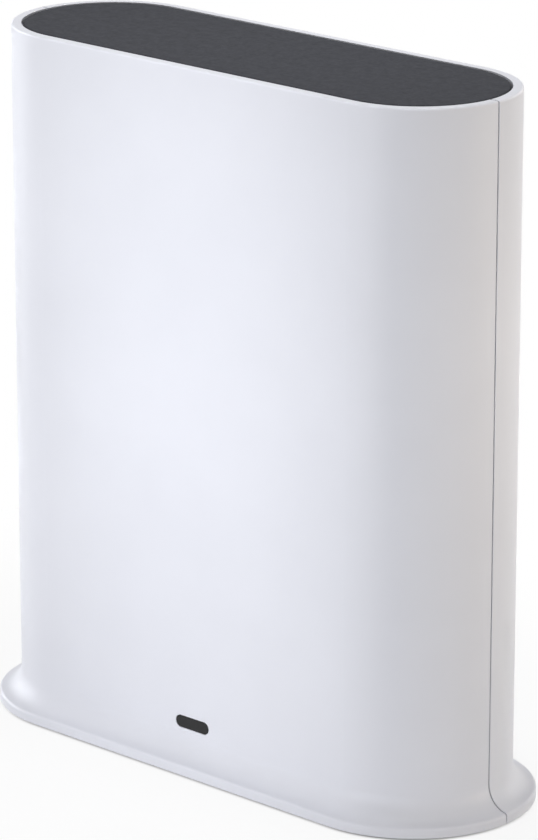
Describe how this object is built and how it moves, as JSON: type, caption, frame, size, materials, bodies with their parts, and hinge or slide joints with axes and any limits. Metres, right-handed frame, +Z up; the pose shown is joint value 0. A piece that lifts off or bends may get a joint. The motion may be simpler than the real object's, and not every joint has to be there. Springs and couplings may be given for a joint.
{
  "type": "security camera base station",
  "caption": "Upright camera hub with a white two-part housing on a flared foot, a dark top panel, a status window at the front and sockets and a pairing button at the back.",
  "frame": {"origin": "middle of the footprint on the surface that the hub stands on", "axes": "+Z up along the height, +Y out of the back with the sockets, +X along the width, so that the front with the status window faces -Y"},
  "size_m": [0.1544, 0.0584, 0.17],
  "materials": {
    "shell_white": "fine satin moulded plastic",
    "panel_dark": "fine matt texture",
    "base_grey": "satin moulded plastic",
    "rubber_grey": "matt",
    "window_smoked": "polished, smoked",
    "guide_clear": "clear acrylic",
    "led_white": "clear resin",
    "board_green": "solder mask",
    "package_black": "moulded epoxy",
    "pad_blue": "soft silicone",
    "sink_aluminium": "extruded",
    "steel_plated": "nickel or tin plated",
    "contact_gold": "gold flash",
    "carrier_black": "moulded",
    "antenna_copper": "copper under mask",
    "lead_black": "extruded jacket",
    "socket_black": "moulded nylon",
    "insert_white": "moulded nylon",
    "can_blue": "shrink sleeve",
    "button_grey": "satin moulded plastic"
  },
  "bodies": {
    "base_station": {"front_shell": "shell_white", "rear_shell": "shell_white", "top_panel": "panel_dark", "base_plate": "base_grey", "foot_ring": "rubber_grey", "base_screws": "steel_plated", "status_window": "window_smoked", "light_guide": "guide_clear", "status_led": "led_white", "main_board": "board_green", "board_screws": "steel_plated", "processor": "package_black", "memory_chips": "package_black", "flash_chip": "package_black", "thermal_pad": "pad_blue", "heat_sink": "sink_aluminium", "heat_sink_screws": "steel_plated", "radio_shield_left": "steel_plated", "radio_shield_right": "steel_plated", "radio_chip_left": "package_black", "radio_chip_right": "package_black", "antenna_carrier": "carrier_black", "carrier_screws": "steel_plated", "antenna_left": "antenna_copper", "antenna_centre": "antenna_copper", "antenna_right": "antenna_copper", "cable_left": "lead_black", "cable_centre": "lead_black", "cable_right": "lead_black", "cable_plugs": "contact_gold", "ethernet_jack": "socket_black", "ethernet_shield": "steel_plated", "ethernet_contacts": "contact_gold", "ethernet_transformer": "package_black", "usb_shell": "steel_plated", "usb_insert": "insert_white", "usb_contacts": "contact_gold", "power_jack": "socket_black", "power_pin": "steel_plated", "power_inductor": "package_black", "capacitors": "can_blue", "sync_switch": "package_black", "reset_switch": "package_black"},
    "sync_plunger": {"sync_button": "button_grey", "sync_stem": "package_black"},
    "reset_plunger": {"reset_stem": "package_black"}
  },
  "joints": [
    {"name": "sync_press", "type": "slide", "parent": "base_station", "child": "sync_plunger", "axis": [0, -1, 0], "range_m": [0, 0.0008], "stiffness_N_per_m": 1500},
    {"name": "reset_press", "type": "slide", "parent": "base_station", "child": "reset_plunger", "axis": [0, -1, 0], "range_m": [0, 0.0005], "stiffness_N_per_m": 1500}
  ]
}
